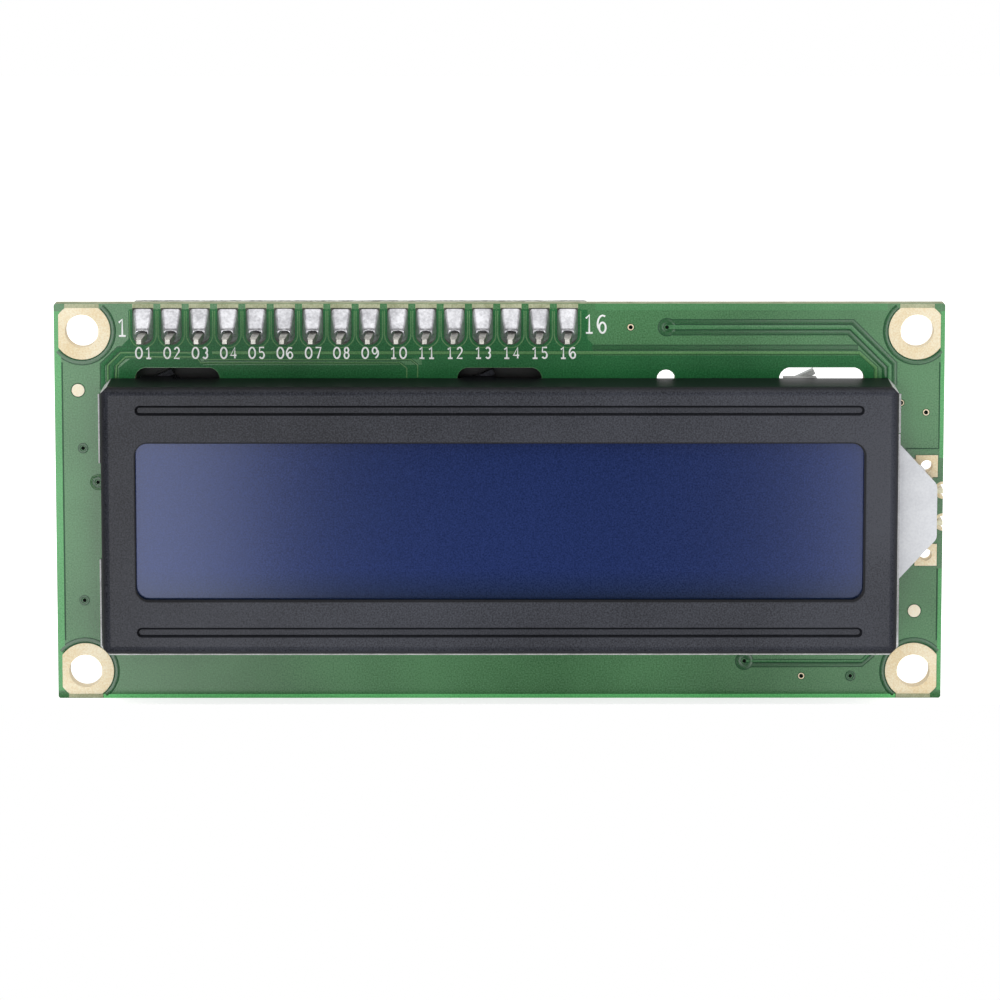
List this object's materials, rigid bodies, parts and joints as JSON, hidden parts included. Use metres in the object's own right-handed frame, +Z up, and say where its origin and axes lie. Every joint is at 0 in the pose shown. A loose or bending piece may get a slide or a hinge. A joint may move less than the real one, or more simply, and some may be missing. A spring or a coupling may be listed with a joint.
{
  "type": "character lcd module",
  "caption": "Flat character display module on a green circuit board, with a black pressed bezel round a blue window and a bus adapter board soldered behind its pin header.",
  "frame": {"origin": "middle of the four mounting holes, on the front face of the main board", "axes": "+X to the right and +Z up as the display is read; the display faces -Y"},
  "size_m": [0.08, 0.0171, 0.036],
  "materials": {
    "board_green": "solder mask, semi-gloss",
    "gold_plate": "thin gold plate",
    "bezel_black": "satin black",
    "display_blue": "anti-glare film",
    "display_glass": "clear",
    "white_film": "matt white",
    "guide_clear": "clear, polished",
    "led_epoxy": "cast",
    "zebra_rubber": "matt, striped",
    "black_epoxy": "flowed, gloss",
    "chip_black": "glazed",
    "chip_tan": "fired ceramic",
    "moulded_black": "moulded",
    "pin_metal": "tin plate",
    "solder": "bright solder",
    "adapter_black": "solder mask",
    "trimmer_blue": "moulded",
    "rotor_white": "moulded",
    "led_red": "cast"
  },
  "bodies": {
    "module": {"main_board": "board_green", "mounting_rings": "gold_plate", "header_pads": "gold_plate", "backlight_pads": "gold_plate", "bezel": "bezel_black", "front_polarizer": "display_blue", "front_glass": "display_glass", "rear_glass": "display_glass", "rear_polarizer": "display_blue", "diffuser_film": "white_film", "light_guide": "guide_clear", "reflector_film": "white_film", "tongue_film": "white_film", "backlight_led": "led_epoxy", "upper_zebra_strip": "zebra_rubber", "lower_zebra_strip": "zebra_rubber", "controller_blob": "black_epoxy", "driver_blob": "black_epoxy", "board_resistors": "chip_black", "board_capacitors": "chip_tan", "header_strip": "moulded_black", "header_pins": "pin_metal", "header_solder": "solder", "adapter_board": "adapter_black", "adapter_header_solder": "solder", "expander_chip": "moulded_black", "expander_leads": "pin_metal", "trimmer_body": "trimmer_blue", "trimmer_legs": "pin_metal", "trimmer_solder": "solder", "bus_header_strip": "moulded_black", "bus_header_pins": "pin_metal", "bus_header_solder": "solder", "jumper_header_strip": "moulded_black", "jumper_header_pins": "pin_metal", "jumper_header_solder": "solder", "jumper_cap": "moulded_black", "jumper_clip": "pin_metal", "power_led": "led_red", "adapter_resistors": "chip_black", "adapter_capacitors": "chip_tan", "transistor_body": "moulded_black", "transistor_leads": "pin_metal"},
    "rotor": {"trimmer_rotor": "rotor_white"}
  },
  "joints": [
    {"name": "contrast_turn", "type": "hinge", "parent": "module", "child": "rotor", "pos_m": [-0.0085, 0.00814, 0.00665], "axis": [0, 1, 0], "range_deg": [-130, 130]}
  ]
}
